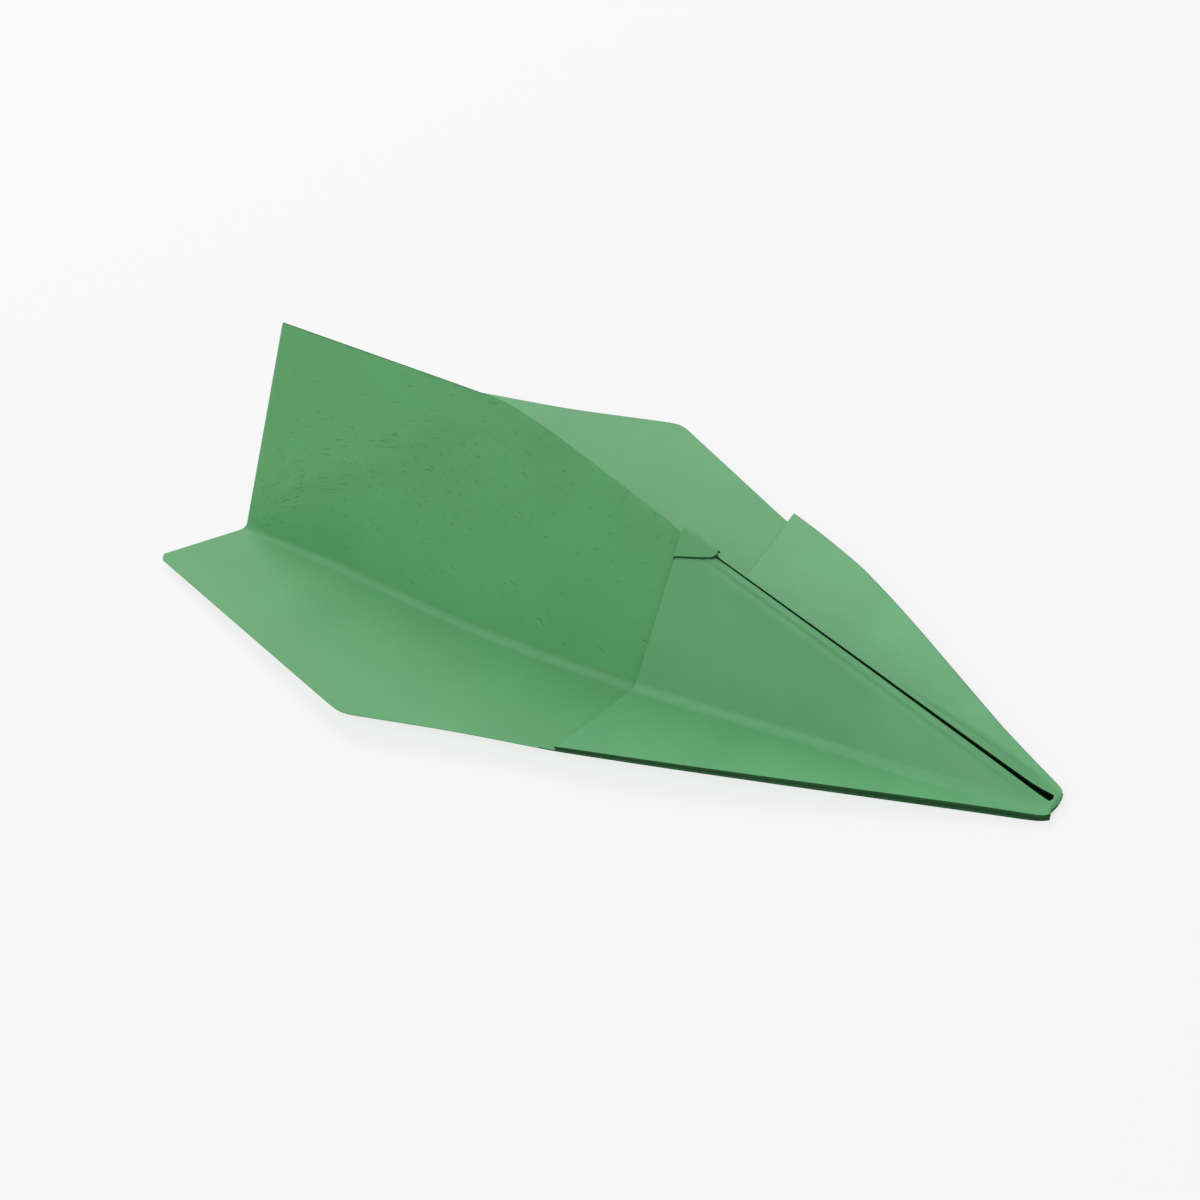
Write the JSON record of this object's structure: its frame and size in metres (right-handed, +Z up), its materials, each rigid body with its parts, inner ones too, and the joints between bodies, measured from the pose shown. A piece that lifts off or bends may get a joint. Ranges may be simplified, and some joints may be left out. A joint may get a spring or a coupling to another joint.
{
  "type": "paper airplane",
  "caption": "Folded paper glider lying keel up: keel walls, swept wings, thick nose flaps and a small locking tab, hinged at the creases.",
  "frame": {"origin": "on the floor under the middle of the bounding box, with the glider standing keel up on its wing creases", "axes": "+X towards the nose, +Z up towards the keel's ridge, Y across the wings: -Y is the left wing in flight"},
  "size_m": [0.2576, 0.1412, 0.0584],
  "materials": {
    "sheet_paper": "matte green heavy paper with a fine felt-marked surface",
    "flap_paper": "the same green paper, in stacked layers",
    "inner_paper": "the same green paper, inside the folds"
  },
  "bodies": {
    "tail_fin": {"left_tail_fin": "inner_paper", "right_tail_fin": "inner_paper"},
    "left_keel": {"left_keel_wall": "sheet_paper", "left_nose_layers_keel": "inner_paper", "left_flap_keel": "flap_paper", "left_lock_tab": "flap_paper", "left_tab_fold": "flap_paper"},
    "left_wing_panel": {"left_wing": "sheet_paper", "left_nose_layers_wing": "inner_paper", "left_flap_wing": "flap_paper"},
    "left_tail_corner_panel": {"left_tail_corner": "sheet_paper"},
    "right_keel": {"right_keel_wall": "sheet_paper", "right_nose_layers_keel": "inner_paper", "right_flap_keel": "flap_paper", "right_lock_tab": "flap_paper", "right_tab_fold": "flap_paper"},
    "right_wing_panel": {"right_wing": "sheet_paper", "right_nose_layers_wing": "inner_paper", "right_flap_wing": "flap_paper"},
    "right_tail_corner_panel": {"right_tail_corner": "sheet_paper"}
  },
  "joints": [
    {"name": "left_keel_spread", "type": "hinge", "parent": "tail_fin", "child": "left_keel", "pos_m": [0.1288, 0, 0.00035], "axis": [-0.931, 0, 0.3651], "range_deg": [-12, 10], "stiffness_Nm_per_rad": 0.03},
    {"name": "right_keel_spread", "type": "hinge", "parent": "tail_fin", "child": "right_keel", "pos_m": [0.1288, 0, 0.00035], "axis": [0.931, 0, -0.3651], "range_deg": [-12, 10], "stiffness_Nm_per_rad": 0.03},
    {"name": "left_wing_fold", "type": "hinge", "parent": "left_keel", "child": "left_wing_panel", "pos_m": [0.02387, -0.01929, 0.00209], "axis": [-0.9979, -0.0646, -0.01], "range_deg": [-35, 70], "stiffness_Nm_per_rad": 0.02},
    {"name": "right_wing_fold", "type": "hinge", "parent": "right_keel", "child": "right_wing_panel", "pos_m": [0.02387, 0.01929, 0.00209], "axis": [0.9979, -0.0646, 0.01], "range_deg": [-35, 70], "stiffness_Nm_per_rad": 0.02},
    {"name": "left_tail_bend", "type": "hinge", "parent": "left_keel", "child": "left_tail_corner_panel", "pos_m": [-0.0192, -0.0007, 0.0584], "axis": [-0.8398, -0.2329, -0.4904], "range_deg": [-12, 10], "stiffness_Nm_per_rad": 0.005},
    {"name": "right_tail_bend", "type": "hinge", "parent": "right_keel", "child": "right_tail_corner_panel", "pos_m": [-0.0192, 0.0007, 0.0584], "axis": [0.8398, -0.2329, 0.4904], "range_deg": [-12, 10], "stiffness_Nm_per_rad": 0.005}
  ],
  "couplings": [
    {"joint": "right_keel_spread", "follows": "left_keel_spread", "ratio": 1},
    {"joint": "left_tail_bend", "follows": "left_keel_spread", "ratio": 0.76},
    {"joint": "right_tail_bend", "follows": "left_keel_spread", "ratio": 0.76}
  ]
}
